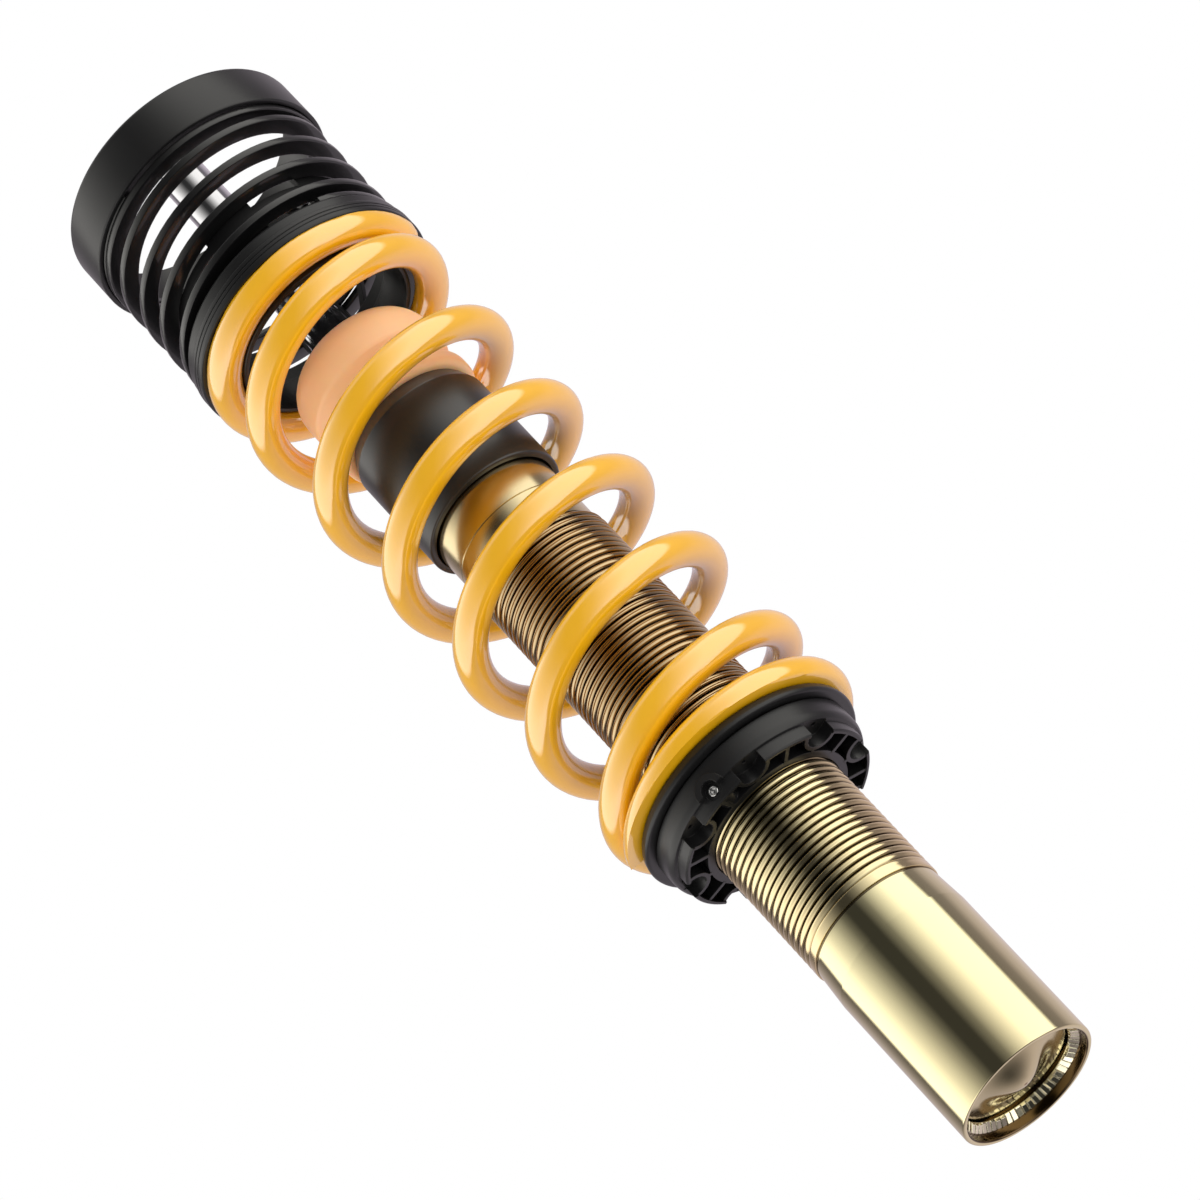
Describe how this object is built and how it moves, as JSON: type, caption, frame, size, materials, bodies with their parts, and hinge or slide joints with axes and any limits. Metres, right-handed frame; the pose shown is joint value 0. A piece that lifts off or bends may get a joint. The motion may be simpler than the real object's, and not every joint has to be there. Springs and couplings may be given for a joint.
{
  "type": "coilover",
  "caption": "Strut coilover: damper in a threaded housing, main spring on an adjustable castellated perch, flat helper spring on a divider ring, bump stop, dust cup and upper seat.",
  "frame": {"origin": "centre of the housing's lower rim, on the strut's axis", "axes": "+Z along the strut's axis towards the rod's stud, -Y towards the front, with the lock screw just left of it"},
  "size_m": [0.1038, 0.1038, 0.537],
  "materials": {
    "zinc_gold": "yellow passivated zinc, polished",
    "weld": "bright weld bead",
    "steel": "machined",
    "guide_alloy": "machined",
    "bearing": "plain bearing lining",
    "seal": "moulded",
    "cup_black": "moulded, satin",
    "foam": "closed-cell foam, matt",
    "rod_chrome": "hard chrome, polished",
    "band": "filled, satin",
    "spring_yellow": "powder coat, gloss",
    "spring_black": "powder coat, satin",
    "composite": "glass-filled, satin",
    "screw": "nickel plate"
  },
  "bodies": {
    "housing": {"lower_tube": "zinc_gold", "threaded_tube": "zinc_gold", "end_cap": "zinc_gold", "end_weld": "weld", "pressure_tube": "steel", "base_valve": "steel", "base_valve_shims": "steel", "base_valve_bolt": "steel", "rod_guide": "guide_alloy", "guide_bush": "bearing", "rod_seal": "seal", "gland_ring": "steel", "dust_cup": "cup_black", "bump_stop": "foam"},
    "band": {"piston_band": "band"},
    "rod": {"piston_rod": "rod_chrome", "piston": "steel", "rebound_shims": "steel", "compression_shims": "steel", "piston_nut": "steel", "rebound_stop": "seal"},
    "seat": {"upper_seat": "composite"},
    "perch": {"slide_ring": "composite", "main_spring": "spring_yellow"},
    "nut": {"adjuster": "composite", "thread_insert": "bearing"},
    "pad": {"lock_pad": "bearing"},
    "screw": {"lock_screw": "screw"},
    "divider": {"divider_flange": "composite", "divider_collar": "composite", "helper_spring": "spring_black"}
  },
  "joints": [
    {"name": "rod_slide", "type": "slide", "parent": "housing", "child": "band", "axis": [0, 0, 1], "range_m": [-0.095, 0], "stiffness_N_per_m": 9500, "springref_m": 0.012, "deforming": ["main_spring", "helper_spring"]},
    {"name": "rod_turn", "type": "hinge", "parent": "band", "child": "rod", "pos_m": [0, 0, 0.25], "axis": [0, 0, 1], "continuous": true},
    {"name": "seat_turn", "type": "hinge", "parent": "rod", "child": "seat", "pos_m": [0, 0, 0.5], "axis": [0, 0, 1], "continuous": true},
    {"name": "perch_slide", "type": "slide", "parent": "housing", "child": "perch", "axis": [0, 0, 1], "range_m": [-0.009, 0]},
    {"name": "nut_turn", "type": "hinge", "parent": "perch", "child": "nut", "pos_m": [0, 0, 0.144], "axis": [0, 0, 1], "range_deg": [-1081, 0]},
    {"name": "lock_slide", "type": "slide", "parent": "nut", "child": "pad", "axis": [-0.2487, -0.9686, 0], "range_m": [0, 0.0025]},
    {"name": "lock_turn", "type": "hinge", "parent": "pad", "child": "screw", "pos_m": [-0.00846, -0.03293, 0.1413], "axis": [-0.2487, -0.9686, 0], "range_deg": [0, 1287]},
    {"name": "divider_slide", "type": "slide", "parent": "perch", "child": "divider", "axis": [0, 0, 1], "range_m": [-0.0545, 0]}
  ],
  "couplings": [
    {"joint": "nut_turn", "follows": "perch_slide", "rad_per_m": 2094.4},
    {"joint": "lock_turn", "follows": "lock_slide", "rad_per_m": 8976},
    {"joint": "divider_slide", "follows": "rod_slide", "ratio": 0.57}
  ]
}
